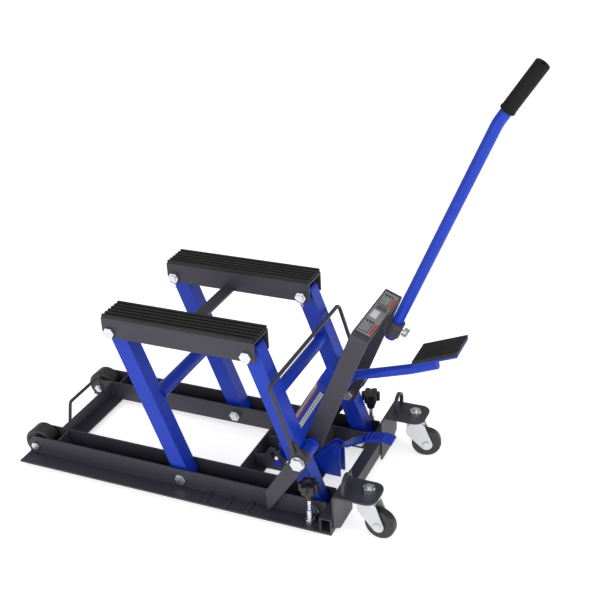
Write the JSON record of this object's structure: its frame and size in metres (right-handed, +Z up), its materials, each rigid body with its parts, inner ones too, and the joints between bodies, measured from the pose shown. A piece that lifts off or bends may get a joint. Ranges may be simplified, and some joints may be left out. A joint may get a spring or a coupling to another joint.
{
  "type": "hydraulic paddock lift stand",
  "caption": "Wheeled hydraulic paddock lift: ribbed twin saddle on parallel arms, foot-pumped jack, safety lock legs, pull handle, casters and floor screws.",
  "frame": {"origin": "on the floor under the middle of the overall size, with the lift raised", "axes": "+X along the rails towards the pull handle and casters, +Y to the far side, +Z up"},
  "size_m": [1.1921, 0.428, 1.0115],
  "materials": {
    "powder_grey": "semi-gloss charcoal powder coat",
    "powder_blue": "semi-gloss royal blue powder coat",
    "zinc": "bright zinc plate",
    "fork_silver": "light silver pressed steel",
    "chrome": "hard chrome",
    "pad_rubber": "matt black ribbed rubber",
    "grip_rubber": "matt black foam rubber",
    "black_plastic": "black moulded plastic",
    "wheel_black": "hard black rubber tyre"
  },
  "bodies": {
    "base": {"rail_outer": "powder_grey", "rail_inner": "powder_grey", "roller_baffles": "powder_grey", "crossbar_rear": "powder_grey", "crossbar_middle": "powder_grey", "crossbar_second": "powder_grey", "crossbar_front": "powder_grey", "rear_loop": "powder_grey", "lock_stops": "powder_grey", "caster_plates": "powder_grey", "tie_down_arches": "powder_grey", "roller_axles": "zinc", "rear_pivot_bolts": "zinc", "front_pivot_bolts": "zinc", "jack_foot_bracket": "powder_grey", "release_bracket": "powder_blue", "floor_nuts": "zinc", "caster_kingpins": "zinc"},
    "roller_near": {"roller_near": "black_plastic"},
    "roller_far": {"roller_far": "black_plastic"},
    "caster_near": {"caster_fork_near": "fork_silver"},
    "caster_far": {"caster_fork_far": "fork_silver"},
    "wheel_near": {"caster_wheel_near": "wheel_black"},
    "wheel_far": {"caster_wheel_far": "wheel_black"},
    "floor_screw_near": {"floor_screw_near": "zinc"},
    "floor_screw_far": {"floor_screw_far": "zinc"},
    "floor_knob_near": {"floor_knob_near": "black_plastic"},
    "floor_knob_far": {"floor_knob_far": "black_plastic"},
    "front_arms": {"front_arm_near": "powder_blue", "front_arm_far": "powder_blue", "front_cross_tube": "powder_blue", "stirrup_stubs": "powder_blue", "stirrup_pins": "zinc"},
    "rear_arms": {"rear_arm_near": "powder_blue", "rear_arm_far": "powder_blue", "rear_cross_tube": "powder_blue"},
    "saddle": {"saddle_beam_near": "powder_grey", "saddle_beam_far": "powder_grey", "saddle_pads": "pad_rubber", "saddle_tie_bar": "powder_grey", "saddle_pivot_bolts": "zinc"},
    "lock_washers": {"lock_washers": "zinc"},
    "lock_frame": {"lock_legs": "powder_grey", "lock_bail": "powder_grey"},
    "stirrup": {"stirrup_legs": "powder_grey", "stirrup_head": "powder_grey", "ram_clevis": "powder_grey", "handle_socket": "powder_grey"},
    "handle": {"handle_tube": "powder_blue", "handle_grip": "grip_rubber"},
    "clamp_screw": {"clamp_screw": "zinc"},
    "ram": {"jack_ram": "chrome"},
    "jack": {"jack_cylinder": "powder_blue", "jack_head": "powder_blue", "jack_foot": "powder_blue"},
    "pump_pedal": {"pump_pedal": "powder_blue", "pump_pedal_pad": "pad_rubber"},
    "release_pedal": {"release_pedal": "powder_blue"}
  },
  "joints": [
    {"name": "lift", "type": "hinge", "parent": "base", "child": "front_arms", "pos_m": [0.1729, 0, 0.038], "axis": [0, -1, 0], "range_deg": [0, 58]},
    {"name": "rear_arm_swing", "type": "hinge", "parent": "base", "child": "rear_arms", "pos_m": [-0.1581, 0, 0.038], "axis": [0, -1, 0], "range_deg": [0, 58]},
    {"name": "saddle_level", "type": "hinge", "parent": "front_arms", "child": "saddle", "pos_m": [0.04044, 0, 0.40194], "axis": [0, -1, 0], "range_deg": [-58, 0]},
    {"name": "stirrup_swing", "type": "hinge", "parent": "front_arms", "child": "stirrup", "pos_m": [0.15, 0, 0.168], "axis": [0, -1, 0], "range_deg": [-81.2, 0]},
    {"name": "ram_swing", "type": "hinge", "parent": "stirrup", "child": "ram", "pos_m": [0.25705, 0, 0.429], "axis": [0, -1, 0], "range_deg": [0, 10.9]},
    {"name": "ram_stroke", "type": "slide", "parent": "ram", "child": "jack", "axis": [0.5049, 0, 0.8632], "range_m": [0, 0.1215]},
    {"name": "lock_follow", "type": "hinge", "parent": "front_arms", "child": "lock_washers", "pos_m": [0.15, 0, 0.168], "axis": [0, -1, 0], "range_deg": [-98.1, 0]},
    {"name": "lock_release", "type": "hinge", "parent": "lock_washers", "child": "lock_frame", "pos_m": [0.15, 0, 0.168], "axis": [0, 1, 0], "range_deg": [0, 8]},
    {"name": "pump_stroke", "type": "hinge", "parent": "jack", "child": "pump_pedal", "pos_m": [0.1859, 0, 0.292], "axis": [0, 1, 0], "range_deg": [0, 22], "stiffness_Nm_per_rad": 12, "springref_deg": -20.05},
    {"name": "release_press", "type": "hinge", "parent": "base", "child": "release_pedal", "pos_m": [0.1589, 0, 0.086], "axis": [0, 1, 0], "range_deg": [0, 12], "stiffness_Nm_per_rad": 10, "springref_deg": -14.32},
    {"name": "handle_slide", "type": "slide", "parent": "stirrup", "child": "handle", "axis": [0.4033, 0, 0.9151], "range_m": [0, 0.03]},
    {"name": "clamp_turn", "type": "hinge", "parent": "stirrup", "child": "clamp_screw", "pos_m": [0.32059, 0, 0.41564], "axis": [0.9151, 0, -0.4033], "range_deg": [0, 360]},
    {"name": "roller_near_spin", "type": "hinge", "parent": "base", "child": "roller_near", "pos_m": [-0.5591, -0.141, 0.037], "axis": [0, 1, 0], "continuous": true},
    {"name": "caster_near_swivel", "type": "hinge", "parent": "base", "child": "caster_near", "pos_m": [0.2969, -0.157, 0.098], "axis": [0, 0, 1], "continuous": true},
    {"name": "wheel_near_spin", "type": "hinge", "parent": "caster_near", "child": "wheel_near", "pos_m": [0.32276, -0.15972, 0.035], "axis": [0.1045, 0.9945, 0], "continuous": true},
    {"name": "floor_screw_near_slide", "type": "slide", "parent": "base", "child": "floor_screw_near", "axis": [0, 0, -1], "range_m": [0, 0.0156]},
    {"name": "floor_knob_near_turn", "type": "hinge", "parent": "floor_screw_near", "child": "floor_knob_near", "pos_m": [0.1724, -0.192, 0.104], "axis": [0, 0, -1], "range_deg": [0, 1860]},
    {"name": "roller_far_spin", "type": "hinge", "parent": "base", "child": "roller_far", "pos_m": [-0.5591, 0.141, 0.037], "axis": [0, 1, 0], "continuous": true},
    {"name": "caster_far_swivel", "type": "hinge", "parent": "base", "child": "caster_far", "pos_m": [0.2969, 0.157, 0.098], "axis": [0, 0, 1], "continuous": true},
    {"name": "wheel_far_spin", "type": "hinge", "parent": "caster_far", "child": "wheel_far", "pos_m": [0.32176, 0.1646, 0.035], "axis": [-0.2924, 0.9563, 0], "continuous": true},
    {"name": "floor_screw_far_slide", "type": "slide", "parent": "base", "child": "floor_screw_far", "axis": [0, 0, -1], "range_m": [0, 0.0156]},
    {"name": "floor_knob_far_turn", "type": "hinge", "parent": "floor_screw_far", "child": "floor_knob_far", "pos_m": [0.1724, 0.192, 0.104], "axis": [0, 0, -1], "range_deg": [0, 1860]}
  ],
  "couplings": [
    {"joint": "rear_arm_swing", "follows": "lift", "ratio": 1},
    {"joint": "saddle_level", "follows": "lift", "ratio": -1},
    {"joint": "stirrup_swing", "follows": "lift", "ratio": -1.4},
    {"joint": "ram_swing", "follows": "lift", "ratio": 0.1872},
    {"joint": "ram_stroke", "follows": "lift", "m_per_rad": 0.11993},
    {"joint": "lock_follow", "follows": "lift", "ratio": -1.69},
    {"joint": "floor_screw_near_slide", "follows": "floor_knob_near_turn", "m_per_rad": 0.00047746},
    {"joint": "floor_screw_far_slide", "follows": "floor_knob_far_turn", "m_per_rad": 0.00047746}
  ]
}
